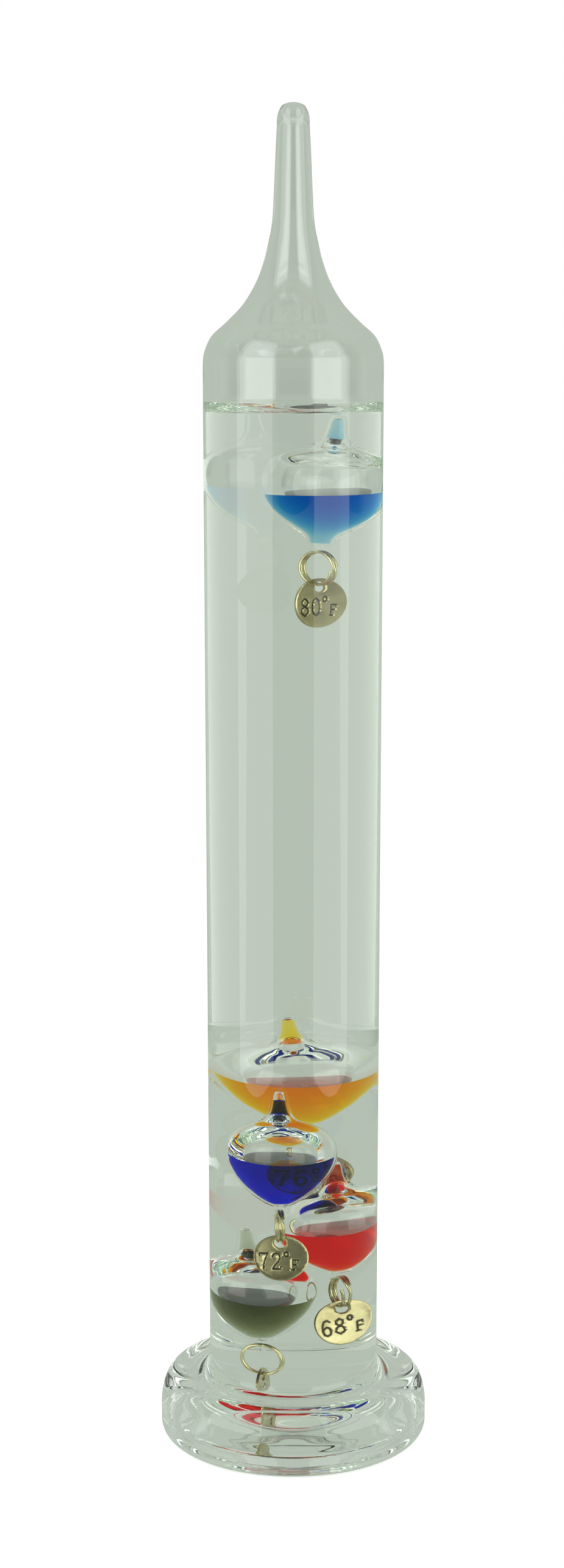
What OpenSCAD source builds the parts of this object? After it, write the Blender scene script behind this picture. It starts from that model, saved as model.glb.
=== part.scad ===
// Galileo thermometer: a sealed glass cylinder of clear liquid on a round glass foot,
// with five weighted glass floats, each carrying a brass tag on a split ring.
// Millimetres, +Z up, origin at the centre of the foot's underside, front towards -Y.

/* [Vessel] */
// Height from the underside of the foot to the sealed tip
total_h = 280; // [270:1:300]
// Outer diameter of the glass tube
tube_d = 36.5; // [36.5:0.1:38]
// Thickness of the tube's wall
tube_wall = 1.5; // [1:0.1:1.5]
// Thickness of the tube's closed lower end
end_wall = 1.8; // [1:0.1:2]
// Height of the tube's lower end above the table, sunk in the foot
tube_sink = 4; // [3:0.1:4]
// Height of the shoulder above the table
shoulder_h = 229.5; // [226:0.5:240]
// Height of the clear liquid's surface above the table
liquid_h = 220.1; // [220.1:0.1:222]

/* [Foot] */
// Largest diameter of the glass foot
foot_d = 58; // [56:0.5:70]
// Height of the foot's fillet on the tube
fillet_h = 16.8; // [16:0.1:18]
// Rounding of the foot's lower edge
under_round = 3.2; // [2:0.1:3.2]
// Radius of the hollow under the foot
hollow_r = 17; // [15:0.5:17]

/* [Floats] */
// Diameter of a float's bulb at its widest
bulb_d = 19.6; // [19:0.1:19.6]
// Thickness of a float's glass
bulb_wall = 0.5; // [0.4:0.05:0.6]
// Radius of the hole in a float's hanger loop
loop_hole_r = 0.95; // [0.95:0.01:1.1]
// Radius of the glass rod of a hanger loop
loop_rod_r = 0.45; // [0.35:0.05:0.5]

/* [Brass] */
// Radius of a split ring's middle line
ring_r = 3.3; // [3:0.1:3.4]
// Radius of a split ring's wire
wire_r = 0.33; // [0.25:0.01:0.34]
// Diameter of a tag
tag_d = 10; // [9:0.1:10]
// Thickness of a tag
tag_t = 0.5; // [0.3:0.05:0.6]
// Radius of the hole in a tag
tag_hole_r = 1.1; // [1.1:0.05:1.3]

/* [Hidden] */
$fn = 72;

tube_r = tube_d / 2;
bore_r = tube_r - tube_wall;
floor_h = tube_sink + end_wall;     // inside floor of the tube
end_round = 3;                      // outer rounding of the tube's closed end
tip_wall = 2.9;                     // solid glass above the bore of the drawn tip
meniscus_rise = 2.2;                // how far the liquid climbs the wall
meniscus_w = 5;                     // and over what width
foot_r = foot_d / 2;
bulb_r = bulb_d / 2;
plane = 60;                         // size of the blocks that cut a shape at a plane

// Heights in a float, from the middle of its bulb
bulb_base = -11;                    // flat underside that the loop stands on
loop_drop = 11.9;                   // down to the middle of the loop's hole
neck_tip = 14.4;
neck_rise = 0.8;                    // how much higher the topmost float's neck reaches
plug_bottom = 8.2;                  // dye held in the neck, down to here
dome_drop = 0.9;                    // from there down to the middle of the dome
dome_r = 2.3;                       // rounding of the air under it

// A split ring's two turns lie side by side, this far from its middle plane
turn_offset = 0.31;
loop_r = loop_hole_r + 2 * loop_rod_r; // outer radius of a hanger loop
split_gap = 16;                     // degrees left open
loop_open = 92;                     // degrees of a loop that the float's base closes
// How far a wire rests off the middle of the hole that it hangs in
loop_slack = 0.33;
tag_slack = 0.45;
hole_inset = 1.7;                   // from a tag's edge to the middle of its hole

glass_tint = [0.82, 0.9, 0.87, 0.35];
liquid_tint = [0.86, 0.92, 0.9, 0.25];
brass_tint = [0.72, 0.68, 0.4];

// Each float: where the middle of its bulb is, how far its neck leans towards +X and +Y,
// how far its loop is turned from facing the front, how far its tag's lower edge leans
// forward, the level of its dye below the middle, and the height of the air at its tip
SKY_BLUE = [[4.9, 0.6, 204.75], [6, 0], 49, 0, 0.6, 0.9, [0.1, 0.42, 0.68]];
AMBER = [[0.6, 6.6, 80.95], [-6, -8.5], 2, -7, 0.6, 1.1, [0.88, 0.56, 0.05]];
VIOLET = [[-2.3, -6.3, 66.15], [0, 7], 3, 16.5, 0.4, 2.4, [0.2, 0.14, 0.62]];
RED = [[6.5, 1.4, 48.95], [-3, 2.5], 33, 16, 0.8, 1.2, [0.76, 0.11, 0.08]];
OLIVE = [[-5.9, -0.7, 34.25], [-5, 6.5], 72, -1, 1.2, 1, [0.3, 0.34, 0.22]];

// ---- outlines ----

// A point of the smooth curve from b to c, t of the way, with a and d outside them
function between(a, b, c, d, t) =
    0.5 * (2 * b + (c - a) * t + (2 * a - 5 * b + 4 * c - d) * t * t
        + (3 * b - a - 3 * c + d) * t * t * t);

// A smooth curve through the points, with the given number of steps between two
function smooth(pts, steps = 3) = concat(
    [for (i = [0 : len(pts) - 2], s = [0 : steps - 1])
        between(pts[max(i - 1, 0)], pts[i], pts[i + 1],
            pts[min(i + 2, len(pts) - 1)], s / steps)],
    [pts[len(pts) - 1]]);

// An arc about [r, z], from angle a to angle b
function arc(r, z, radius, a, b, steps = 6) =
    [for (i = [0 : steps]) let (w = a + (b - a) * i / steps)
        [r + radius * cos(w), z + radius * sin(w)]];

function unit(v) = v / norm(v);

// The outline moved to its left by d, for an outline that runs upwards on the right
function inset(pts, d) =
    [for (i = [0 : len(pts) - 1])
        let (step = unit(pts[min(i + 1, len(pts) - 1)] - pts[max(i - 1, 0)]))
        pts[i] + d * [-step[1], step[0]]];

function reversed(pts) = [for (i = [len(pts) - 1 : -1 : 0]) pts[i]];

// Shoulder and drawn neck of the tube, from the straight wall up to below the cap
shoulder = smooth([
    [tube_r, shoulder_h], [tube_r - 0.3, shoulder_h + 2.4], [tube_r - 1.8, shoulder_h + 5.6],
    [13.4, total_h - 42.1], [10.1, total_h - 38.7], [7.6, total_h - 34.7],
    [6.1, total_h - 31], [5, total_h - 26.8], [4.2, total_h - 22.6], [3.8, total_h - 16],
    [3.5, total_h - 9], [3.25, total_h - 4.4]
]);
cap = smooth([
    [3.25, total_h - 4.4], [3.15, total_h - 2.6], [2.45, total_h - 0.9],
    [1.3, total_h - 0.2], [0, total_h]
]);

// Closed lower end of the tube, from the axis out to the straight wall
tube_end = concat([[0, tube_sink]],
    arc(tube_r - end_round, tube_sink + end_round, end_round, -90, 0));
bore_end = concat([[0, floor_h]],
    arc(bore_r - end_round, floor_h + end_round, end_round, -90, 0));

// Outside of a float, from its flat base to the tip of its neck. The floats are blown by
// hand, and the topmost one has a higher dome and a shallower lower half than the others.
usual_side = smooth([
    [1.8, bulb_base], [3, -10.3], [4.8, -8.9], [6.6, -7.2], [8.3, -5],
    [bulb_r - 0.25, -2.3], [bulb_r, 0.2], [bulb_r - 0.5, 2.8], [7.7, 5.1],
    [5.3, 6.7], [3.1, 7.7], [2.05, 9.1], [1.6, 11], [1.4, 13],
    [1, neck_tip - 0.4], [0, neck_tip]
]);
high_side = smooth([
    [2, bulb_base], [2.1, -10.3], [2.35, -9.5], [3.1, -8.6], [4.3, -7.7], [5.9, -6.5],
    [7.4, -5.1], [8.7, -3.3], [bulb_r - 0.25, -1.1], [bulb_r, 1.2], [bulb_r - 0.15, 3.4],
    [9.1, 5.4], [8, 6.9], [5.9, 8.1], [3.4, 9], [2.1, 10.1], [1.6, 11.8], [1.4, 13.6],
    [1, neck_tip + neck_rise - 0.4], [0, neck_tip + neck_rise]
]);
function is_high(f) = f == SKY_BLUE;
function float_side(f) = is_high(f) ? high_side : usual_side;
function rise(f) = is_high(f) ? neck_rise : 0;

// Inside of a float's glass, with a full wall over its flat base
function bulb_cavity(f) =
    let (low = bulb_base + 0.8 * bulb_wall,
        inside = [for (p = inset(float_side(f), bulb_wall)) if (p[0] > 0.3 && p[1] > low) p])
    concat([[0, inside[0][1]]], inside, [[0, inside[len(inside) - 1][1]]]);

// ---- places ----

module leaned(f) {
    translate(f[0])
        rotate([-f[1][1], f[1][0], 0])
            children();
}

// Middle of a float's loop, where its ring hangs
function loop_at(f) =
    let (lx = f[1][0], ly = f[1][1])
    f[0] + loop_drop * [-sin(lx) * cos(ly), -sin(ly), -cos(lx) * cos(ly)];

module at_ring(f) {
    translate(loop_at(f) - [0, 0, loop_slack + ring_r])
        rotate([0, 0, f[2]])
            children();
}

// Origin in the middle of the tag's hole, facing the front, hanging down
module at_tag(f) {
    translate(loop_at(f) - [0, 0, loop_slack + 2 * ring_r + tag_slack])
        rotate([0, 0, f[2]])
            rotate([-f[3], 0, 0])
                children();
}

// ---- vessel ----

module glass_tube() {
    bore = [for (p = inset(shoulder, tube_wall)) if (p[1] < total_h - tip_wall - 2) p];
    bore_tip = bore[len(bore) - 1];
    color(glass_tint)
        rotate_extrude()
            polygon(concat(
                tube_end, shoulder, cap,
                reversed(concat(
                    bore_end, bore,
                    smooth([bore_tip, [bore_tip[0] * 0.8, total_h - tip_wall - 0.8],
                        [0, total_h - tip_wall]])))));
}

module glass_foot() {
    hollow_h = tube_sink - 0.7;     // leaves 0.7 of glass under the tube's end
    hollow_lip = hollow_h - 1;      // height of the hollow at its rim
    seat = [for (p = tube_end) if (p[1] < fillet_h) p];
    hollow = smooth(concat(
        [for (t = [0 : 0.2 : 0.8]) [hollow_r * t, hollow_h - (hollow_h - hollow_lip) * t * t]],
        [[hollow_r, hollow_lip * 0.97], [hollow_r + 0.8, hollow_lip * 0.6],
            [hollow_r + 1.5, hollow_lip * 0.2], [hollow_r + 2.6, 0]]));
    side = smooth([
        [foot_r, 5.5], [foot_r, 7.5], [foot_r - 0.25, 9.65], [foot_r - 0.8, 11.75],
        [foot_r - 1.8, 13.55], [foot_r - 3.2, 14.65], [foot_r - 5.2, 15.1], [21.6, 14.9],
        [20, 15.15], [tube_r + 0.3, fillet_h]
    ]);
    color(glass_tint)
        rotate_extrude()
            polygon(concat(
                hollow,
                arc(foot_r - under_round, under_round, under_round, -90, 0),
                side,
                [[tube_r, fillet_h]],
                reversed(seat)));
}

// The room that a float, its loop, ring and tag take up in the liquid
module room_for(f) {
    room = 0.08;
    leaned(f) {
        rotate_extrude()
            polygon(concat(
                [[0, bulb_base - room]], inset(float_side(f), -room),
                [[0, neck_tip + rise(f) + room]]));
        translate([0, 0, -loop_drop])
            cylinder(h = 2 * loop_r + 0.4, r = loop_r + 0.2, center = true);
    }
    at_ring(f)
        rotate([0, 90, 0])
            cylinder(h = 2 * (turn_offset + wire_r) + 0.3, r = ring_r + wire_r + 0.15, center = true);
    at_tag(f)
        translate([0, 0, hole_inset - tag_d / 2])
            rotate([90, 0, 0])
                cylinder(h = tag_t + 0.2, r = tag_d / 2 + 0.1, center = true);
}

module clear_liquid() {
    surface = concat(
        [for (t = [0 : 0.1 : 1])
            [bore_r - meniscus_w * t, liquid_h + meniscus_rise * exp(-4 * t) * (1 - t)]],
        [[0, liquid_h]]);
    color(liquid_tint)
        difference() {
            rotate_extrude()
                polygon(concat(bore_end, surface));
            for (f = [SKY_BLUE, AMBER, VIOLET, RED, OLIVE])
                room_for(f);
        }
}

// ---- one float and what hangs from it ----

module bulb(f) {
    color(glass_tint)
        leaned(f)
            rotate_extrude()
                difference() {
                    polygon(concat([[0, bulb_base]], float_side(f)));
                    polygon(bulb_cavity(f));
                }
}

// Dye in the lower half of the bulb, level whatever the lean, and dye held in the neck
module dye(f) {
    level = f[0][2] - f[4];
    low = plug_bottom + rise(f);
    high = neck_tip + rise(f) - f[5];
    color(f[6]) {
        intersection() {
            leaned(f)
                rotate_extrude()
                    polygon(bulb_cavity(f));
            translate([f[0][0], f[0][1], level - plane / 2])
                cube(plane, center = true);
        }
        leaned(f)
            difference() {
                intersection() {
                    rotate_extrude()
                        polygon(bulb_cavity(f));
                    translate([0, 0, low])
                        cylinder(h = high - low, r = bulb_r / 2);
                }
                translate([0, 0, low - dome_drop])
                    sphere(dome_r);
            }
    }
}

// Hanger of glass rod, its two ends fused into the float's flat base
module hanger_loop(f) {
    color(glass_tint)
        leaned(f)
            translate([0, 0, -loop_drop])
                rotate([90, 0, f[2]])
                    rotate([0, 0, 90 + loop_open / 2])
                        rotate_extrude(angle = 360 - loop_open)
                            translate([loop_hole_r + loop_rod_r, 0])
                                circle(loop_rod_r);
}

// Two turns of brass wire side by side, open at one place
module split_ring(f) {
    color(brass_tint)
        at_ring(f)
            rotate([0, 90, 0])
                rotate([0, 0, 90 + split_gap / 2])
                    rotate_extrude(angle = 360 - split_gap) {
                        for (side = [-1, 1])
                            translate([ring_r, side * turn_offset])
                                circle(wire_r);
                        translate([ring_r, 0])
                            square([wire_r, turn_offset], center = true);
                    }
}

module tag(f) {
    color(brass_tint)
        at_tag(f)
            rotate([90, 0, 0])
                difference() {
                    translate([0, hole_inset - tag_d / 2, 0])
                        cylinder(h = tag_t, r = tag_d / 2, center = true);
                    cylinder(h = 2 * tag_t, r = tag_hole_r, center = true);
                }
}

glass_tube();
glass_foot();
clear_liquid();
bulb(SKY_BLUE);  // sky_blue_bulb
dye(SKY_BLUE);  // sky_blue_dye
hanger_loop(SKY_BLUE);  // sky_blue_loop
split_ring(SKY_BLUE);  // sky_blue_ring
tag(SKY_BLUE);  // sky_blue_tag
bulb(AMBER);  // amber_bulb
dye(AMBER);  // amber_dye
hanger_loop(AMBER);  // amber_loop
split_ring(AMBER);  // amber_ring
tag(AMBER);  // amber_tag
bulb(VIOLET);  // violet_bulb
dye(VIOLET);  // violet_dye
hanger_loop(VIOLET);  // violet_loop
split_ring(VIOLET);  // violet_ring
tag(VIOLET);  // violet_tag
bulb(RED);  // red_bulb
dye(RED);  // red_dye
hanger_loop(RED);  // red_loop
split_ring(RED);  // red_ring
tag(RED);  // red_tag
bulb(OLIVE);  // olive_bulb
dye(OLIVE);  // olive_dye
hanger_loop(OLIVE);  // olive_loop
split_ring(OLIVE);  // olive_ring
tag(OLIVE);  // olive_tag
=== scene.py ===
"""Looks of the galileo thermometer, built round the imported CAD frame.

Glass, liquid and dye are nested bodies. Each surface carries the refraction index of the side
behind it over the side in front of it, so a wall wetted by liquid nearly vanishes, as it does
in a real thermometer. The lengths below are millimetres and repeat the values in part.scad.
"""
import math

import bmesh
import bpy
from mathutils import Euler, Matrix, Vector
from mathutils.geometry import delaunay_2d_cdt


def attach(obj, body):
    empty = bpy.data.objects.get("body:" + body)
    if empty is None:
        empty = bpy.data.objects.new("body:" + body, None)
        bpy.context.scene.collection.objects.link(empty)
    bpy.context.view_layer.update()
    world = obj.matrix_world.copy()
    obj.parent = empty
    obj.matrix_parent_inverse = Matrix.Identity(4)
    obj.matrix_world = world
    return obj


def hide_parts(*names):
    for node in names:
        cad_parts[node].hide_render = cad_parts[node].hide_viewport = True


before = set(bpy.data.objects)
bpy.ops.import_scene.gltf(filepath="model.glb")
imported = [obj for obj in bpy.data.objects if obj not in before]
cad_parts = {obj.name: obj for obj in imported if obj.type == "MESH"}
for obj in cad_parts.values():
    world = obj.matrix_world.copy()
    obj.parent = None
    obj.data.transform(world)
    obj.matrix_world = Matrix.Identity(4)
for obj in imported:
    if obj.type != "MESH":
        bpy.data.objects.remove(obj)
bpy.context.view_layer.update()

MM = 0.001

# ---- sizes that part.scad gives ----

TOTAL_H = 280.0
TUBE_R = 18.25
TUBE_WALL = 1.5
BORE_R = TUBE_R - TUBE_WALL
TUBE_SINK = 4.0
FLOOR_H = 5.8
END_ROUND = 3.0
SHOULDER_H = 229.5
TIP_WALL = 2.9
LIQUID_H = 220.1
MENISCUS_RISE = 2.2
MENISCUS_W = 5.0
FOOT_R = 29.0
FOOT_UNDER_ROUND = 3.2
HOLLOW_R = 17.0
HOLLOW_H = TUBE_SINK - 0.7
HOLLOW_LIP = HOLLOW_H - 1
FUSE_H = 16.8
BULB_R = 9.8
BULB_WALL = 0.5
BULB_BASE = -11.0
NECK_TIP = 14.4
NECK_RISE = 0.8
PLUG_BOTTOM = 8.2
DOME_R = 2.3
DOME_DROP = 0.9
LOOP_DROP = 11.9
LOOP_MID_R = 1.4
LOOP_ROD_R = 0.45
LOOP_OPEN = math.radians(92)
LOOP_SLACK = 0.33
RING_R = 3.3
WIRE_R = 0.33
TURN_OFFSET = 0.31
TAG_R = 5.0
TAG_T = 0.5
TAG_HOLE_R = 1.1
TAG_SLACK = 0.45
HOLE_INSET = 1.7

# Edges that turn by more than this stay sharp
SHARP_ANGLE = math.radians(38)

# Gap between two bodies that touch, so that their faces never lie in one place
SKIN = 0.02

# Faces round a turned shape
VESSEL_SEGMENTS = 192
FLOAT_SEGMENTS = 96

# ---- refraction ----

N_GLASS = 1.5
N_LIQUID = 1.43
AIR_TO_GLASS = N_GLASS
LIQUID_TO_GLASS = N_GLASS / N_LIQUID
AIR_TO_LIQUID = N_LIQUID
NO_CHANGE = 1.0

# Each float: whether it has the topmost float's high dome, the middle of its bulb, the lean of
# its neck towards +X and +Y in degrees, the turn of its loop about Z, the forward tilt of its
# tag, the dye's level below the middle, the air at its tip, the number on its tag, how strongly
# its dye absorbs light per metre and the painted glow it gives off though it is no lamp, both for
# red, green and blue, how far the loose end of its split ring stands off, and the angle at which
# that ring is cut
FLOATS = {
    "sky_blue": dict(
        high=True, middle=(4.9, 0.6, 204.75), lean=(6, 0), turn=49, tilt=0, level=0.6, air=0.9,
        number="80", takes_off=(400, 128, 25), painted_glow=(0.0, 0.0, 0.0), splay=0.4, cut=186),
    "amber": dict(
        high=False, middle=(0.6, 6.6, 80.95), lean=(-6, -8.5), turn=2, tilt=-7, level=0.6, air=1.1,
        number="76", takes_off=(5, 82, 1050), painted_glow=(0.04, 0.01, 0.0), splay=0.3, cut=150),
    "violet": dict(
        high=False, middle=(-2.3, -6.3, 66.15), lean=(0, 7), turn=3, tilt=16.5, level=0.4, air=2.4,
        number="72", takes_off=(1700, 1600, 40), painted_glow=(0.0, 0.0, 0.0), splay=0.6, cut=150),
    "red": dict(
        high=False, middle=(6.5, 1.4, 48.95), lean=(-3, 2.5), turn=33, tilt=16, level=0.8, air=1.2,
        number="68", takes_off=(14, 640, 1000), painted_glow=(0.05, 0.0, 0.0), splay=0.95, cut=158),
    "olive": dict(
        high=False, middle=(-5.9, -0.7, 34.25), lean=(-5, 6.5), turn=72, tilt=-1, level=1.2, air=1.0,
        number="64", takes_off=(170, 166, 250), painted_glow=(0.0, 0.0, 0.0), splay=0.3, cut=150),
}


# ---- outlines, as in part.scad but finer ----

def between(a, b, c, d, t):
    """Point of the smooth curve from b to c, t of the way, with a and d outside them."""
    return tuple(
        0.5 * (2 * q + (r - p) * t + (2 * p - 5 * q + 4 * r - s) * t * t
               + (3 * q - p - 3 * r + s) * t ** 3)
        for p, q, r, s in zip(a, b, c, d))


def smooth(points, steps=8):
    """A smooth curve through the points, with the given number of steps between two."""
    last = len(points) - 1
    curve = []
    for i in range(last):
        ends = points[max(i - 1, 0)], points[i], points[i + 1], points[min(i + 2, last)]
        curve += [between(*ends, s / steps) for s in range(steps)]
    return curve + [points[last]]


def arc(r, z, radius, start, end, steps=10):
    """Points of an arc about (r, z), between two angles in degrees."""
    angles = [math.radians(start + (end - start) * i / steps) for i in range(steps + 1)]
    return [(r + radius * math.cos(w), z + radius * math.sin(w)) for w in angles]


def inset(points, d):
    """The outline moved towards the axis by d."""
    last = len(points) - 1
    moved = []
    for i, (r, z) in enumerate(points):
        ahead = points[min(i + 1, last)]
        behind = points[max(i - 1, 0)]
        dr = ahead[0] - behind[0]
        dz = ahead[1] - behind[1]
        length = math.hypot(dr, dz)
        moved.append((r - d * dz / length, z + d * dr / length))
    return moved


def line(a, b, steps):
    """Evenly spaced points from a towards b, without b."""
    return [tuple(p + (q - p) * i / steps for p, q in zip(a, b)) for i in range(steps)]


SHOULDER = smooth([
    (TUBE_R, SHOULDER_H), (17.95, SHOULDER_H + 2.4), (16.45, SHOULDER_H + 5.6), (13.4, 237.9),
    (10.1, 241.3), (7.6, 245.3), (6.1, 249.0), (5.0, 253.2), (4.2, 257.4), (3.8, 264.0),
    (3.5, 271.0), (3.25, 275.6)])
CAP = smooth([(3.25, 275.6), (3.15, 277.4), (2.45, 279.1), (1.3, 279.8), (0.0, TOTAL_H)])
TUBE_END = arc(TUBE_R - END_ROUND, TUBE_SINK + END_ROUND, END_ROUND, -90, 0)
BORE_END = arc(BORE_R - END_ROUND, FLOOR_H + END_ROUND, END_ROUND, -90, 0)
USUAL_SIDE = smooth([
    (1.8, BULB_BASE), (3.0, -10.3), (4.8, -8.9), (6.6, -7.2), (8.3, -5.0), (9.55, -2.3),
    (BULB_R, 0.2), (9.3, 2.8), (7.7, 5.1), (5.3, 6.7), (3.1, 7.7), (2.05, 9.1), (1.6, 11.0),
    (1.4, 13.0), (1.0, 14.0), (0.0, NECK_TIP)])
HIGH_SIDE = smooth([
    (2.0, BULB_BASE), (2.1, -10.3), (2.35, -9.5), (3.1, -8.6), (4.3, -7.7), (5.9, -6.5),
    (7.4, -5.1), (8.7, -3.3), (9.55, -1.1), (BULB_R, 1.2), (9.65, 3.4), (9.1, 5.4), (8.0, 6.9),
    (5.9, 8.1), (3.4, 9.0), (2.1, 10.1), (1.6, 11.8), (1.4, 13.6), (1.0, 14.8),
    (0.0, NECK_TIP + NECK_RISE)])


# ---- mesh building ----

def finish_mesh(name, bm, materials, body, replaces):
    """Makes the piece, in metres, and lets it ride on its body in place of its CAD node."""
    bmesh.ops.scale(bm, vec=(MM, MM, MM), verts=bm.verts)
    mesh = bpy.data.meshes.new(name)
    bm.to_mesh(mesh)
    bm.free()
    mesh.shade_smooth()
    mesh.set_sharp_from_angle(angle=SHARP_ANGLE)
    for material in materials:
        mesh.materials.append(material)
    piece = bpy.data.objects.new(name, mesh)
    bpy.context.scene.collection.objects.link(piece)
    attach(piece, body)
    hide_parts(*replaces)


def lathe(bm, outline, slots, segments, place=None, inward=False):
    """Turns an outline that runs upwards from axis to axis. slots(r, z) names a face's slot."""
    on_axis = 1e-6
    place = place or Matrix.Identity(4)
    rows = []
    for r, z in outline:
        count = 1 if r < on_axis else segments
        rows.append([
            bm.verts.new(place @ Vector((
                r * math.cos(2 * math.pi * j / segments),
                r * math.sin(2 * math.pi * j / segments), z)))
            for j in range(count)])
    made = []
    for i in range(len(rows) - 1):
        low, high = rows[i], rows[i + 1]
        slot = slots(
            (outline[i][0] + outline[i + 1][0]) / 2, (outline[i][1] + outline[i + 1][1]) / 2)
        for j in range(segments):
            k = (j + 1) % segments
            corners = [low[j % len(low)], low[k % len(low)], high[k % len(high)],
                       high[j % len(high)]]
            corners = list(dict.fromkeys(corners))
            if inward:
                corners.reverse()
            face = bm.faces.new(corners)
            face.material_index = slot
            made.append(face)
    return made


def sweep(bm, path, radii, sides):
    """A round wire along the path, with closed ends. radii has a number for each point."""
    rings = []
    normal = None
    for i, point in enumerate(path):
        along = (path[min(i + 1, len(path) - 1)] - path[max(i - 1, 0)]).normalized()
        if normal is None:
            normal = along.orthogonal().normalized()
        normal = (normal - along * normal.dot(along)).normalized()
        side = along.cross(normal)
        rings.append([
            bm.verts.new(point + radii[i] * (
                math.cos(2 * math.pi * k / sides) * normal
                + math.sin(2 * math.pi * k / sides) * side))
            for k in range(sides)])
    for low, high in zip(rings, rings[1:]):
        for k in range(sides):
            m = (k + 1) % sides
            bm.faces.new((low[k], low[m], high[m], high[k]))
    bm.faces.new(list(reversed(rings[0])))
    bm.faces.new(rings[-1])


# ---- materials ----

def new_material(name):
    material = bpy.data.materials.new(name)
    material.use_nodes = True
    nodes = material.node_tree.nodes
    return material, nodes, material.node_tree.links, nodes["Principled BSDF"]


def add_node(nodes, kind, **inputs):
    node = nodes.new(kind)
    for key, value in inputs.items():
        node.inputs[key.replace("_", " ")].default_value = value
    return node


def add_waves(nodes, links, shader, scale, stretch, distance, strength):
    """The slight unevenness of drawn glass: long soft waves in the surface."""
    place = nodes.new("ShaderNodeTexCoord")
    mapping = nodes.new("ShaderNodeMapping")
    mapping.inputs["Scale"].default_value = stretch
    waves = add_node(nodes, "ShaderNodeTexNoise", Scale=scale, Detail=1.5, Roughness=0.4)
    bump = add_node(nodes, "ShaderNodeBump", Strength=strength, Distance=distance)
    links.new(place.outputs["Object"], mapping.inputs["Vector"])
    links.new(mapping.outputs["Vector"], waves.inputs["Vector"])
    links.new(waves.outputs["Fac"], bump.inputs["Height"])
    links.new(bump.outputs["Normal"], shader.inputs["Normal"])


def clear_material(name, ior, tint, waves=None):
    """Glass or liquid, whose surface bends light by the index ior."""
    material, nodes, links, shader = new_material(name)
    shader.inputs["Base Color"].default_value = tint + (1.0,)
    shader.inputs["Roughness"].default_value = 0.0
    shader.inputs["Transmission Weight"].default_value = 1.0
    shader.inputs["IOR"].default_value = ior
    if waves:
        add_waves(nodes, links, shader, *waves)
    return material


GLASS_TINT = (0.985, 0.995, 0.985)
CLEAR_TINT = (0.995, 1.0, 0.995)
TUBE_WAVES = (90.0, (1.0, 1.0, 0.25), 0.00008, 0.35)
FOOT_WAVES = (60.0, (1.0, 1.0, 1.0), 0.00012, 0.35)
BULB_WAVES = (220.0, (1.0, 1.0, 1.0), 0.00004, 0.35)

tube_outside = clear_material("tube_outside", AIR_TO_GLASS, GLASS_TINT, TUBE_WAVES)
tube_dry = clear_material("tube_dry_inside", AIR_TO_GLASS, GLASS_TINT, TUBE_WAVES)
tube_wet = clear_material("tube_wet_inside", LIQUID_TO_GLASS, GLASS_TINT, TUBE_WAVES)
fused = clear_material("fused_glass", NO_CHANGE, CLEAR_TINT)
foot_outside = clear_material("foot_outside", AIR_TO_GLASS, GLASS_TINT, FOOT_WAVES)
liquid_surface = clear_material("liquid_surface", AIR_TO_LIQUID, CLEAR_TINT)
liquid_side = clear_material("liquid_side", NO_CHANGE, CLEAR_TINT)
bulb_outside = clear_material("bulb_outside", LIQUID_TO_GLASS, GLASS_TINT, BULB_WAVES)
bulb_dry = clear_material("bulb_dry_inside", AIR_TO_GLASS, GLASS_TINT, BULB_WAVES)
bulb_wet = clear_material("bulb_wet_inside", LIQUID_TO_GLASS, GLASS_TINT)
hanger_glass = clear_material("hanger_glass", LIQUID_TO_GLASS, GLASS_TINT, BULB_WAVES)


def dye_materials(name, takes_off, painted_glow):
    """The dye's free surface and its side against the glass, with one absorption inside.

    The painted glow is light given off by the dye, though it is no lamp. It brightens the amber and
    red dyes a little, for the look alone."""
    densest = max(takes_off)
    colour = tuple(1 - t / densest for t in takes_off) + (1.0,)
    pair = []
    for part, ior in (("surface", AIR_TO_LIQUID), ("side", NO_CHANGE)):
        material, nodes, links, shader = new_material(f"{name}_dye_{part}")
        shader.inputs["Base Color"].default_value = (1.0, 1.0, 1.0, 1.0)
        shader.inputs["Roughness"].default_value = 0.0
        shader.inputs["Transmission Weight"].default_value = 1.0
        shader.inputs["IOR"].default_value = ior
        # Painted glow: the dye gives off light of its own although it is no lamp
        shader.inputs["Emission Color"].default_value = painted_glow + (1.0,)
        shader.inputs["Emission Strength"].default_value = 1.0 if max(painted_glow) > 0 else 0.0
        material.cycles.emission_sampling = "NONE"
        absorb = nodes.new("ShaderNodeVolumeAbsorption")
        absorb.inputs["Color"].default_value = colour
        absorb.inputs["Density"].default_value = densest
        links.new(absorb.outputs["Volume"], nodes["Material Output"].inputs["Volume"])
        pair.append(material)
    return pair


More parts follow.
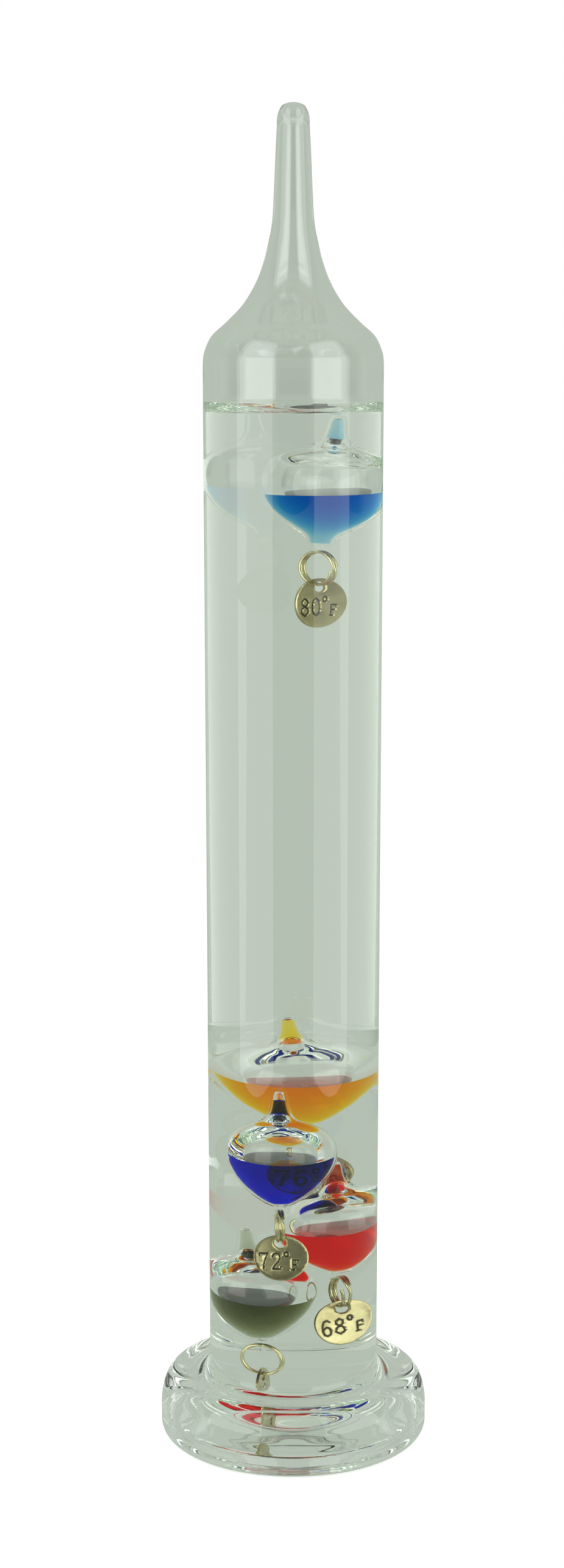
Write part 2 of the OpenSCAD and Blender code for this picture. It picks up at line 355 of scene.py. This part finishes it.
def brass_material(name, brushed, dark, bright):
    """Yellow brass with a faint patina, brushed one way, and with painted shade darkening what is
    stamped in.
    """
    material, nodes, links, shader = new_material(name)
    place = nodes.new("ShaderNodeTexCoord")
    mapping = nodes.new("ShaderNodeMapping")
    mapping.inputs["Scale"].default_value = brushed
    grain = add_node(nodes, "ShaderNodeTexNoise", Scale=900.0, Detail=4.0, Roughness=0.6)
    patina = add_node(nodes, "ShaderNodeTexNoise", Scale=260.0, Detail=3.0, Roughness=0.55)
    tone = nodes.new("ShaderNodeValToRGB")
    tone.color_ramp.elements[0].position = 0.35
    tone.color_ramp.elements[0].color = dark
    tone.color_ramp.elements[1].position = 0.65
    tone.color_ramp.elements[1].color = bright
    stamp = nodes.new("ShaderNodeAttribute")
    stamp.attribute_name = "stamped"
    # Painted shade: where a point is stamped in, its base colour is mixed towards near black. This
    # stands in for the shade that falls in the grooves.
    painted_groove_shade = nodes.new("ShaderNodeMix")
    painted_groove_shade.data_type = "RGBA"
    painted_groove_shade.inputs["B"].default_value = (0.035, 0.028, 0.012, 1.0)
    rough = nodes.new("ShaderNodeMapRange")
    rough.inputs["To Min"].default_value = 0.15
    rough.inputs["To Max"].default_value = 0.32
    bump = add_node(nodes, "ShaderNodeBump", Strength=0.25, Distance=0.00003)
    links.new(place.outputs["Object"], mapping.inputs["Vector"])
    links.new(mapping.outputs["Vector"], grain.inputs["Vector"])
    links.new(place.outputs["Object"], patina.inputs["Vector"])
    links.new(patina.outputs["Fac"], tone.inputs["Fac"])
    links.new(tone.outputs["Color"], painted_groove_shade.inputs["A"])
    links.new(stamp.outputs["Fac"], painted_groove_shade.inputs["Factor"])
    links.new(painted_groove_shade.outputs["Result"], shader.inputs["Base Color"])
    links.new(grain.outputs["Fac"], rough.inputs["Value"])
    links.new(rough.outputs["Result"], shader.inputs["Roughness"])
    links.new(grain.outputs["Fac"], bump.inputs["Height"])
    links.new(bump.outputs["Normal"], shader.inputs["Normal"])
    shader.inputs["Metallic"].default_value = 1.0
    return material


tag_brass = brass_material(
    "tag_brass", (0.08, 1.0, 1.0), (0.42, 0.37, 0.18, 1.0), (0.6, 0.54, 0.29, 1.0))
wire_brass = brass_material(
    "wire_brass", (1.0, 1.0, 1.0), (0.62, 0.56, 0.3, 1.0), (0.82, 0.76, 0.46, 1.0))


# ---- vessel ----

# Steps along a straight stretch of the tube's wall
LONG_STEPS = 40
SHORT_STEPS = 4

# The bore's drawn end stops this far below its top, and a round cap closes it
BORE_CAP_H = 2.0


def build_tube():
    bm = bmesh.new()
    wall = line(TUBE_END[-1], (TUBE_R, FUSE_H), SHORT_STEPS)
    wall += line((TUBE_R, FUSE_H), SHOULDER[0], LONG_STEPS)
    outside = [(0.0, TUBE_SINK)] + TUBE_END[:-1] + wall + SHOULDER[:-1] + CAP
    lathe(bm, outside, lambda r, z: 1 if z < FUSE_H else 0, VESSEL_SEGMENTS)
    bore_top = TOTAL_H - TIP_WALL
    bore = [p for p in inset(SHOULDER, TUBE_WALL) if p[1] < bore_top - BORE_CAP_H]
    last_r = bore[-1][0]
    tip = [bore[-1]] + arc(0.0, bore_top - last_r, last_r, 0, 90, 16)[1:-1] + [(0.0, bore_top)]
    wet_top = LIQUID_H + MENISCUS_RISE
    inside = (
        [(0.0, FLOOR_H)] + BORE_END[:-1] + line(BORE_END[-1], (BORE_R, wet_top), LONG_STEPS)
        + line((BORE_R, wet_top), bore[0], SHORT_STEPS) + bore[:-1] + tip)
    lathe(bm, inside, lambda r, z: 2 if z < wet_top else 3, VESSEL_SEGMENTS, inward=True)
    finish_mesh(
        "glass_vessel", bm, [tube_outside, fused, tube_wet, tube_dry], "vessel",
        ["glass_tube"])


FOOT_SIDE = smooth([
    (FOOT_R, 5.5), (FOOT_R, 7.5), (28.75, 9.65), (28.2, 11.75), (27.2, 13.55), (25.8, 14.65),
    (23.8, 15.1), (21.6, 14.9), (20.0, 15.15), (18.8, 15.8), (TUBE_R + SKIN, FUSE_H)])
HOLLOW = smooth(
    [(HOLLOW_R * t, HOLLOW_H - (HOLLOW_H - HOLLOW_LIP) * t * t)
     for t in (0.0, 0.2, 0.4, 0.6, 0.8)]
    + [(HOLLOW_R, HOLLOW_LIP * 0.97), (HOLLOW_R + 0.8, HOLLOW_LIP * 0.6),
       (HOLLOW_R + 1.5, HOLLOW_LIP * 0.2), (HOLLOW_R + 2.6, 0.0)])
FOOT_UNDER = HOLLOW + arc(
    FOOT_R - FOOT_UNDER_ROUND, FOOT_UNDER_ROUND, FOOT_UNDER_ROUND, -90, 0)


def build_foot():
    bm = bmesh.new()
    lathe(bm, FOOT_UNDER + FOOT_SIDE, lambda r, z: 0, VESSEL_SEGMENTS)
    seat = [(0.0, TUBE_SINK - SKIN)] + [(r + SKIN, z - SKIN) for r, z in TUBE_END]
    seat.append((TUBE_R + SKIN, FUSE_H))
    lathe(bm, seat, lambda r, z: 1, VESSEL_SEGMENTS, inward=True)
    bmesh.ops.remove_doubles(bm, verts=bm.verts, dist=1e-5)
    finish_mesh("glass_foot_body", bm, [foot_outside, fused], "vessel", ["glass_foot"])


def build_liquid():
    bm = bmesh.new()
    reach = BORE_R - SKIN
    steps = 28
    wall_steps = 30
    flat_share = 0.35
    surface = []
    for i in range(steps + 1):
        t = i / steps
        climb = MENISCUS_RISE * math.exp(-4 * t) * (1 - t)
        surface.append((reach - MENISCUS_W * t, LIQUID_H + climb))
    surface += [(reach * flat_share, LIQUID_H), (0.0, LIQUID_H)]
    bottom = [(0.0, FLOOR_H + SKIN)] + [(r - SKIN, z + SKIN) for r, z in BORE_END]
    outline = bottom[:-1] + line(bottom[-1], surface[0], wall_steps) + surface
    edge = len(bottom) - 1 + wall_steps
    slots = iter([1] * edge + [0] * len(outline))
    lathe(bm, outline, lambda r, z: next(slots), VESSEL_SEGMENTS)
    finish_mesh(
        "clear_liquid_body", bm, [liquid_surface, liquid_side], "vessel", ["clear_liquid"])


# ---- floats ----

def float_place(spec):
    """Where a float's own frame lies: its middle, leaned as part.scad leans it."""
    lean_x, lean_y = spec["lean"]
    turn = Matrix.Rotation(math.radians(lean_x), 4, "Y") @ Matrix.Rotation(
        math.radians(-lean_y), 4, "X")
    return Matrix.Translation(spec["middle"]) @ turn


def loop_middle(spec):
    return float_place(spec) @ Vector((0, 0, -LOOP_DROP))


def side_of(spec):
    return HIGH_SIDE if spec["high"] else USUAL_SIDE


def neck_rise(spec):
    return NECK_RISE if spec["high"] else 0.0


def dye_level(spec):
    return spec["middle"][2] - spec["level"]


def plug_top_of(spec):
    return NECK_TIP + neck_rise(spec) - spec["air"]


def cavity_of(spec):
    """Outline of the space inside a float's glass, with a full wall over its flat base."""
    low = BULB_BASE + 0.8 * BULB_WALL
    near_axis = 0.3
    wall = [
        p for p in inset(side_of(spec), BULB_WALL) if p[0] > near_axis and p[1] > low]
    return [(0.0, wall[0][1])] + wall + [(0.0, wall[-1][1])]


def cavity_radius(cavity, z):
    """Radius of a float's cavity in its neck, at a height."""
    for low, high in zip(cavity, cavity[1:]):
        if low[1] <= z <= high[1] and high[1] > low[1]:
            return low[0] + (high[0] - low[0]) * (z - low[1]) / (high[1] - low[1])
    return 0.0


def plug_edge(spec):
    """Height at which the air's dome meets the neck's wall."""
    step = 0.01
    cavity = cavity_of(spec)
    z = PLUG_BOTTOM + neck_rise(spec)
    centre = z - DOME_DROP
    while z < centre + DOME_R and math.hypot(cavity_radius(cavity, z), z - centre) > DOME_R:
        z += step
    return z


def cut_level(bm, faces, level):
    """Cuts the faces along a level height."""
    geometry = set(faces)
    for face in faces:
        geometry.update(face.verts)
        geometry.update(face.edges)
    bmesh.ops.bisect_plane(
        bm, geom=list(geometry), plane_co=(0, 0, level), plane_no=(0, 0, 1))


# Faces up to this height above the dye's level are cut along it
CUT_REACH = 4.0


def build_bulb(name, spec):
    bm = bmesh.new()
    place = float_place(spec)
    level = dye_level(spec)
    plug_top = plug_top_of(spec)
    edge = plug_edge(spec)
    cavity = cavity_of(spec)
    lathe(bm, [(0.0, BULB_BASE)] + side_of(spec), lambda r, z: 0, FLOAT_SEGMENTS, place)
    split = []
    for low, high in zip(cavity, cavity[1:]):
        split.append(low)
        for z in (edge, plug_top):
            if low[1] < z < high[1]:
                split.append((cavity_radius(cavity, z), z))
    split.append(cavity[-1])
    inner = lathe(
        bm, split, lambda r, z: 2 if edge < z < plug_top else 1, FLOAT_SEGMENTS, place,
        inward=True)
    highest = level + CUT_REACH
    pool = [f for f in inner if f.material_index == 1 and f.calc_center_median().z < highest]
    cut_level(bm, pool, level)
    inside = {f for f in bm.faces if f.material_index == 1}
    for face in inside:
        if face.calc_center_median().z < level:
            face.material_index = 2
    finish_mesh(
        f"{name}_bulb_glass", bm, [bulb_outside, bulb_dry, bulb_wet], f"{name}_float",
        [f"{name}_bulb"])


# The hollow in the plug's top: shares of its radius, and how far below its edge they lie
PLUG_HOLLOW = ((0.8, 0.14), (0.4, 0.22), (0.0, 0.25))

# Below this height in the float's frame, the dye is also lifted by the gap
LIFTED_BELOW = -8.0


def build_dye(name, spec):
    bm = bmesh.new()
    place = float_place(spec)
    level = dye_level(spec)
    plug_top = plug_top_of(spec)
    plug_bottom = PLUG_BOTTOM + neck_rise(spec)
    pool_top = plug_bottom - 1
    cavity = cavity_of(spec)
    pool_wall = inset(cavity[1:-1], SKIN)
    lowest = (0.0, pool_wall[0][1] + SKIN)
    pool_wall = [lowest] + [(r, z + SKIN * (z < LIFTED_BELOW)) for r, z in pool_wall]
    pool_wall = [p for p in pool_wall if p[1] < pool_top] + [(0.0, pool_top)]
    lathe(bm, pool_wall, lambda r, z: 1, FLOAT_SEGMENTS, place)
    everything = list(bm.verts) + list(bm.edges) + list(bm.faces)
    cut = bmesh.ops.bisect_plane(
        bm, geom=everything, plane_co=(0, 0, level), plane_no=(0, 0, 1), clear_outer=True)
    rim = [g for g in cut["geom_cut"] if isinstance(g, bmesh.types.BMEdge)]
    lid = bmesh.ops.holes_fill(bm, edges=rim, sides=0)["faces"]
    for face in lid:
        face.normal_update()
        if face.normal.z < 0:
            face.normal_flip()
        face.material_index = 0
        face.smooth = False
    centre = plug_bottom - DOME_DROP
    edge = plug_edge(spec)
    edge_r = cavity_radius(cavity, edge) - SKIN
    start = math.degrees(math.atan2(edge - centre, edge_r))
    steps = 12
    dome = arc(0, centre, math.hypot(edge_r, edge - centre), 90, start, steps)
    wall = [
        (cavity_radius(cavity, z) - SKIN, z)
        for z in [edge + (plug_top - edge) * i / steps for i in range(1, steps)]]
    top_r = cavity_radius(cavity, plug_top) - SKIN
    top = [(top_r, plug_top)] + [(top_r * share, plug_top - drop) for share, drop in PLUG_HOLLOW]
    outline = [(0.0, dome[0][1])] + dome[1:] + wall + top
    slots = iter([0] * (len(dome) - 1) + [1] * (len(wall) + 1) + [0] * len(top))
    lathe(bm, outline, lambda r, z: next(slots), FLOAT_SEGMENTS, place)
    surface, side = dye_materials(name, spec["takes_off"], spec["painted_glow"])
    finish_mesh(
        f"{name}_dye_body", bm, [surface, side], f"{name}_float", [f"{name}_dye"])


def build_loop(name, spec):
    """A hanger loop of glass rod, a little thicker at its two roots."""
    bm = bmesh.new()
    place = float_place(spec) @ Matrix.Translation((0, 0, -LOOP_DROP)) @ Matrix.Rotation(
        math.radians(spec["turn"]), 4, "Z")
    steps = 40
    sides = 16
    root_share = 0.14
    root_swell = 0.15
    path = []
    radii = []
    for i in range(steps + 1):
        share = i / steps
        w = math.pi / 2 + LOOP_OPEN / 2 + (2 * math.pi - LOOP_OPEN) * share
        path.append(place @ Vector((LOOP_MID_R * math.cos(w), 0, LOOP_MID_R * math.sin(w))))
        near_end = max(0.0, 1 - min(share, 1 - share) / root_share)
        radii.append(LOOP_ROD_R * (1 + root_swell * near_end ** 2))
    sweep(bm, path, radii, sides)
    finish_mesh(
        f"{name}_hanger", bm, [hanger_glass], f"{name}_float", [f"{name}_loop"])


# ---- rings and tags ----

def build_ring(name, spec):
    """A split ring of two turns, which cross over where it is cut and stand apart at one end."""
    bm = bmesh.new()
    middle = loop_middle(spec) - Vector((0, 0, LOOP_SLACK + RING_R))
    place = Matrix.Translation(middle) @ Matrix.Rotation(math.radians(spec["turn"]), 4, "Z")
    steps = 220
    turns = 1.97
    sides = 12
    wire_r = WIRE_R * 0.94
    crossing_share = 0.09
    loose_share = 0.3
    waver = 0.04
    path = []
    for i in range(steps + 1):
        share = i / steps
        w = math.radians(spec["cut"]) + 2 * math.pi * turns * share
        crossing = min(max((share - 0.5) / crossing_share + 0.5, 0.0), 1.0)
        crossing = crossing * crossing * (3 - 2 * crossing)
        loose = spec["splay"] * max(0.0, 1 - share / loose_share) ** 2
        along = TURN_OFFSET * (2 * crossing - 1) - loose
        reach = RING_R + waver * math.sin(2 * w)
        path.append(place @ Vector((along, reach * math.cos(w), reach * math.sin(w))))
    sweep(bm, path, [wire_r] * len(path), sides)
    finish_mesh(
        f"{name}_split_ring", bm, [wire_brass], f"{name}_ring", [f"{name}_ring"])


# Strokes of the stamped characters, in a box 1 wide and this high
STROKE_BOX_H = 1.6
STROKES = {
    "0": [[(0.5, 1.6), (0.18, 1.35), (0.08, 0.8), (0.18, 0.25), (0.5, 0.0), (0.82, 0.25),
           (0.92, 0.8), (0.82, 1.35), (0.5, 1.6)]],
    "2": [[(0.1, 1.25), (0.22, 1.5), (0.5, 1.6), (0.8, 1.48), (0.88, 1.15), (0.7, 0.8),
           (0.3, 0.35), (0.1, 0.03), (0.9, 0.03), (0.94, 0.25)]],
    "4": [[(0.7, 0.0), (0.7, 1.6), (0.06, 0.5), (0.95, 0.5)], [(0.5, 0.0), (0.9, 0.0)]],
    "6": [[(0.85, 1.4), (0.6, 1.6), (0.3, 1.45), (0.12, 1.0), (0.1, 0.5), (0.25, 0.12),
           (0.52, 0.0), (0.8, 0.14), (0.9, 0.45), (0.78, 0.78), (0.5, 0.9), (0.22, 0.75),
           (0.1, 0.5)]],
    "7": [[(0.08, 1.35), (0.08, 1.58), (0.92, 1.58), (0.6, 0.9), (0.45, 0.4), (0.42, 0.0)]],
    "8": [[(0.5, 0.86), (0.2, 1.05), (0.16, 1.35), (0.5, 1.6), (0.84, 1.35), (0.8, 1.05),
           (0.5, 0.86), (0.16, 0.66), (0.08, 0.3), (0.5, 0.0), (0.92, 0.3), (0.84, 0.66),
           (0.5, 0.86)]],
    "o": [[(0.5, 1.6), (0.32, 1.52), (0.26, 1.35), (0.32, 1.18), (0.5, 1.1), (0.68, 1.18),
           (0.74, 1.35), (0.68, 1.52), (0.5, 1.6)]],
    "F": [[(0.2, 0.0), (0.2, 1.1), (0.9, 1.1), (0.9, 0.92)], [(0.2, 0.58), (0.65, 0.58)],
          [(0.02, 0.0), (0.42, 0.0)]],
}
# Left edge, base, width and height of each of the four, from the middle of the tag
CHARACTER_BOXES = ((-4.0, -2.5, 1.8, 3.5), (-1.7, -2.5, 1.8, 3.5), (0.2, -2.2, 1.6, 3.5),
                   (1.9, -2.6, 1.3, 3.1))
STAMP_DEPTH = 0.12
STAMP_HALF_W = 0.21
STAMP_SLOPE_W = 0.1

# A tag's grid of points: its fine step, how many of those a coarse step is, and how far from
# the rim, the hole and the strokes it reaches
GRID_STEP = 0.1
GRID_COARSE = 5
RIM_MARGIN = 0.35
HOLE_MARGIN = 0.3
STROKE_MARGIN = 0.3


def stamp_segments(number):
    """Line segments of the characters, in the tag's plane with the hole's middle as origin."""
    middle_y = HOLE_INSET - TAG_R
    segments = []
    for character, box in zip(number + "oF", CHARACTER_BOXES):
        left, base, width, height = box
        for stroke in STROKES[character]:
            points = [
                (left + x * width, middle_y + base + y * height / STROKE_BOX_H)
                for x, y in stroke]
            segments += list(zip(points, points[1:]))
    return segments


def distance_to(segments, x, y):
    """Distance from a point to the nearest of the segments."""
    nearest = 1e9
    for (ax, ay), (bx, by) in segments:
        dx = bx - ax
        dy = by - ay
        share = ((x - ax) * dx + (y - ay) * dy) / (dx * dx + dy * dy)
        share = min(max(share, 0.0), 1.0)
        nearest = min(nearest, math.hypot(x - ax - share * dx, y - ay - share * dy))
    return nearest


def stamp_depth(distance):
    """Depth of the stamped groove at a distance from its middle line."""
    share = min(max((STAMP_HALF_W - distance) / STAMP_SLOPE_W, 0.0), 1.0)
    return STAMP_DEPTH * share * share * (3 - 2 * share)


def circle(x, y, radius, count):
    return [
        (x + radius * math.cos(2 * math.pi * i / count),
         y + radius * math.sin(2 * math.pi * i / count))
        for i in range(count)]


def tag_face(segments, rim, hole):
    """Points and triangles of a tag's face, fine round the stamped strokes only."""
    middle_y = HOLE_INSET - TAG_R
    points = rim + hole
    count = int(TAG_R / GRID_STEP)
    for i in range(-count, count + 1):
        for j in range(-count, count + 1):
            x = i * GRID_STEP
            y = middle_y + j * GRID_STEP
            coarse = i % GRID_COARSE == 0 and j % GRID_COARSE == 0
            if math.hypot(x, y - middle_y) > TAG_R - RIM_MARGIN:
                continue
            if math.hypot(x, y) < TAG_HOLE_R + HOLE_MARGIN:
                continue
            if coarse or (segments and distance_to(segments, x, y) < STROKE_MARGIN):
                points.append((x, y))
    edges = [(i, (i + 1) % len(rim)) for i in range(len(rim))]
    edges += [(len(rim) + (i + 1) % len(hole), len(rim) + i) for i in range(len(hole))]
    result = delaunay_2d_cdt([Vector(p) for p in points], edges, [], 0, 1e-6)
    corners = [(v.x, v.y) for v in result[0]]
    triangles = []
    for face in result[2]:
        x = sum(corners[i][0] for i in face) / 3
        y = sum(corners[i][1] for i in face) / 3
        if math.hypot(x, y) > TAG_HOLE_R and math.hypot(x, y - middle_y) < TAG_R:
            triangles.append(face)
    return corners, triangles


def build_tag(name, spec):
    """A slightly domed brass disc with a hole, a bevelled rim and a stamped front."""
    bm = bmesh.new()
    stamped = bm.verts.layers.float.new("stamped")
    hole_middle = loop_middle(spec) - Vector((0, 0, LOOP_SLACK + 2 * RING_R + TAG_SLACK))
    place = (
        Matrix.Translation(hole_middle)
        @ Matrix.Rotation(math.radians(spec["turn"]), 4, "Z")
        @ Matrix.Rotation(math.radians(90 - spec["tilt"]), 4, "X"))
    middle_y = HOLE_INSET - TAG_R
    bevel = 0.09
    bevel_bulge = 0.3
    doming = 0.004
    half = TAG_T / 2
    around = 96
    round_hole = 40
    segments = stamp_segments(spec["number"])

    def put(x, y, z, depth=0.0):
        dish = doming * (x * x + (y - middle_y) ** 2)
        vertex = bm.verts.new(place @ Vector((x, y, z - depth - dish)))
        # The stamped share also sets how far painted shade darkens this point of the brass
        vertex[stamped] = min(depth / STAMP_DEPTH, 1.0)
        return vertex

    for side in (1, -1):
        rim = circle(0, middle_y, TAG_R - bevel, around)
        hole = circle(0, 0, TAG_HOLE_R + bevel, round_hole)
        strokes = segments if side > 0 else []
        corners, triangles = tag_face(strokes, rim, hole)
        verts = []
        for x, y in corners:
            depth = stamp_depth(distance_to(segments, x, y)) if side > 0 else 0.0
            verts.append(put(x, y, side * half, depth))
        for face in triangles:
            order = face if side > 0 else list(reversed(face))
            bm.faces.new([verts[i] for i in order])
    for middle, radius, sign, count in (
            (middle_y, TAG_R, 1, around), (0.0, TAG_HOLE_R, -1, round_hole)):
        steps = [
            (radius - sign * bevel, half),
            (radius - sign * bevel * bevel_bulge, half - bevel * bevel_bulge),
            (radius, half - bevel), (radius, bevel - half),
            (radius - sign * bevel * bevel_bulge, bevel * bevel_bulge - half),
            (radius - sign * bevel, -half)]
        rows = [[put(x, y, z) for x, y in circle(0, middle, r, count)] for r, z in steps]
        for upper, lower in zip(rows, rows[1:]):
            for j in range(count):
                k = (j + 1) % count
                quad = [lower[j], lower[k], upper[k], upper[j]]
                if sign < 0:
                    quad.reverse()
                bm.faces.new(quad)
    bmesh.ops.remove_doubles(bm, verts=bm.verts, dist=1e-4)
    finish_mesh(f"{name}_tag_disc", bm, [tag_brass], f"{name}_tag", [f"{name}_tag"])


build_tube()
build_foot()
build_liquid()
for float_name, float_spec in FLOATS.items():
    build_bulb(float_name, float_spec)
    build_dye(float_name, float_spec)
    build_loop(float_name, float_spec)
    build_ring(float_name, float_spec)
    build_tag(float_name, float_spec)


# ---- floor, light and camera ----

ROOM_TONE = (0.47, 0.53, 0.46, 1.0)   # what every ray but the camera's own sees of the room
PLATE_TONE = (1.0, 1.0, 1.0, 1.0)     # what the camera sees of it directly
FLOOR_TONE = (0.86, 0.87, 0.86, 1.0)
FLOOR_LIFT = 0.62                     # light added to the floor that the camera sees
FLOOR_HALF = 3.0                      # half the floor's width, in metres
FLOOR_DROP = 0.00005                  # and how far below the foot it lies


def build_floor():
    material = bpy.data.materials.new("pale_floor")
    material.use_nodes = True
    nodes = material.node_tree.nodes
    links = material.node_tree.links
    nodes.clear()
    seen = nodes.new("ShaderNodeLightPath")
    lit = nodes.new("ShaderNodeBsdfDiffuse")
    lit.inputs["Color"].default_value = FLOOR_TONE
    lift = nodes.new("ShaderNodeEmission")
    lift.inputs["Color"].default_value = PLATE_TONE
    lift.inputs["Strength"].default_value = FLOOR_LIFT
    both = nodes.new("ShaderNodeAddShader")
    room = nodes.new("ShaderNodeEmission")
    room.inputs["Color"].default_value = ROOM_TONE
    room.inputs["Strength"].default_value = 1.0
    choose = nodes.new("ShaderNodeMixShader")
    output = nodes.new("ShaderNodeOutputMaterial")
    links.new(lit.outputs["BSDF"], both.inputs[0])
    links.new(lift.outputs["Emission"], both.inputs[1])
    links.new(seen.outputs["Is Camera Ray"], choose.inputs["Fac"])
    links.new(room.outputs["Emission"], choose.inputs[1])
    links.new(both.outputs["Shader"], choose.inputs[2])
    links.new(choose.outputs["Shader"], output.inputs["Surface"])
    material.cycles.emission_sampling = "NONE"
    corners = [(-1, -1), (1, -1), (1, 1), (-1, 1)]
    mesh = bpy.data.meshes.new("floor")
    mesh.from_pydata(
        [(x * FLOOR_HALF, y * FLOOR_HALF, -FLOOR_DROP) for x, y in corners], [],
        [(0, 1, 2, 3)])
    mesh.materials.append(material)
    floor = bpy.data.objects.new("floor", mesh)
    bpy.context.scene.collection.objects.link(floor)


# Brightness of the room by the angle from the camera's side, as (degrees, brightness): dark
# behind the camera, pale behind the light panels, a darker gap, and pale at the back
ROOM_RING = ((0, 0.16), (18, 0.16), (26, 1.0), (74, 1.0), (80, 0.35), (92, 0.35), (104, 1.0))
ROOM_TOP = 1.2                        # brightness overhead
ROOM_TOP_FROM = 0.45                  # heights on the unit sphere between which it sets in
ROOM_TOP_FULL = 0.95


def build_world():
    world = bpy.data.worlds.new("studio")
    bpy.context.scene.world = world
    world.use_nodes = True
    nodes = world.node_tree.nodes
    links = world.node_tree.links
    nodes.clear()
    place = nodes.new("ShaderNodeTexCoord")
    parts = nodes.new("ShaderNodeSeparateXYZ")
    back = nodes.new("ShaderNodeMath")
    back.operation = "MULTIPLY"
    back.inputs[1].default_value = -1.0
    angle = nodes.new("ShaderNodeMath")
    angle.operation = "ARCTAN2"
    width = nodes.new("ShaderNodeMath")
    width.operation = "ABSOLUTE"
    share = nodes.new("ShaderNodeMath")
    share.operation = "DIVIDE"
    share.inputs[1].default_value = math.pi
    ring = nodes.new("ShaderNodeValToRGB")
    for index, (degrees, brightness) in enumerate(ROOM_RING):
        elements = ring.color_ramp.elements
        element = elements[index] if index < 2 else elements.new(degrees / 180)
        element.position = degrees / 180
        element.color = (brightness, brightness, brightness, 1.0)
    height = nodes.new("ShaderNodeMapRange")
    height.inputs["From Min"].default_value = ROOM_TOP_FROM
    height.inputs["From Max"].default_value = ROOM_TOP_FULL
    top = nodes.new("ShaderNodeMix")
    top.data_type = "RGBA"
    top.inputs["B"].default_value = (ROOM_TOP, ROOM_TOP, ROOM_TOP, 1.0)
    room = nodes.new("ShaderNodeMix")
    room.data_type = "RGBA"
    room.blend_type = "MULTIPLY"
    room.inputs["Factor"].default_value = 1.0
    room.inputs["B"].default_value = ROOM_TONE
    seen = nodes.new("ShaderNodeLightPath")
    tone = nodes.new("ShaderNodeMix")
    tone.data_type = "RGBA"
    tone.inputs["B"].default_value = PLATE_TONE
    sky = nodes.new("ShaderNodeBackground")
    output = nodes.new("ShaderNodeOutputWorld")
    links.new(place.outputs["Generated"], parts.inputs["Vector"])
    links.new(parts.outputs["Y"], back.inputs[0])
    links.new(parts.outputs["X"], angle.inputs[0])
    links.new(back.outputs[0], angle.inputs[1])
    links.new(angle.outputs[0], width.inputs[0])
    links.new(width.outputs[0], share.inputs[0])
    links.new(share.outputs[0], ring.inputs["Fac"])
    links.new(parts.outputs["Z"], height.inputs["Value"])
    links.new(height.outputs["Result"], top.inputs["Factor"])
    links.new(ring.outputs["Color"], top.inputs["A"])
    links.new(top.outputs["Result"], room.inputs["A"])
    links.new(seen.outputs["Is Camera Ray"], tone.inputs["Factor"])
    links.new(room.outputs["Result"], tone.inputs["A"])
    links.new(tone.outputs["Result"], sky.inputs["Color"])
    links.new(sky.outputs["Background"], output.inputs["Surface"])


PANEL_DISTANCE = 0.3
PANEL_MIDDLE_H = 0.3
PANEL_W = 0.27
PANEL_H = 0.6
PANEL_RADIANCE = 1.5


def add_panel(name, azimuth):
    """A soft upright light panel that faces the object. Azimuth 0 is the camera's side."""
    w = math.radians(azimuth)
    data = bpy.data.lights.new(name, "AREA")
    data.shape = "RECTANGLE"
    data.size = PANEL_W
    data.size_y = PANEL_H
    data.energy = PANEL_RADIANCE * math.pi * PANEL_W * PANEL_H
    light = bpy.data.objects.new(name, data)
    light.location = (
        PANEL_DISTANCE * math.sin(w), -PANEL_DISTANCE * math.cos(w), PANEL_MIDDLE_H)
    light.rotation_euler = Euler((math.radians(90), 0, w))
    light.visible_camera = False
    bpy.context.scene.collection.objects.link(light)


build_floor()
build_world()
for panel_name, panel_azimuth in (("panel_left", -50.0), ("panel_right", 50.0)):
    add_panel(panel_name, panel_azimuth)

CAMERA_BACK = 0.567
CAMERA_H = 0.238
CAMERA_DOWN = 13.8

# Light passes dozens of nested surfaces here, and a limit of 40 leaves black patches
CLEAR_BOUNCES = 160

camera_data = bpy.data.cameras.new("camera")
camera_data.sensor_width = 36.0
camera_data.lens = 62.96
camera_data.shift_x = -0.0072
camera_data.shift_y = 0.1345
camera_data.clip_start = 0.01
camera = bpy.data.objects.new("camera", camera_data)
camera.location = (0.0, -CAMERA_BACK, CAMERA_H)
camera.rotation_euler = (math.radians(90 - CAMERA_DOWN), 0, 0)
bpy.context.scene.collection.objects.link(camera)
scene = bpy.context.scene
scene.camera = camera
scene.view_settings.view_transform = "Standard"
scene.cycles.max_bounces = CLEAR_BOUNCES
scene.cycles.transmission_bounces = CLEAR_BOUNCES
scene.cycles.glossy_bounces = CLEAR_BOUNCES
scene.cycles.diffuse_bounces = 3
scene.cycles.use_denoising = True
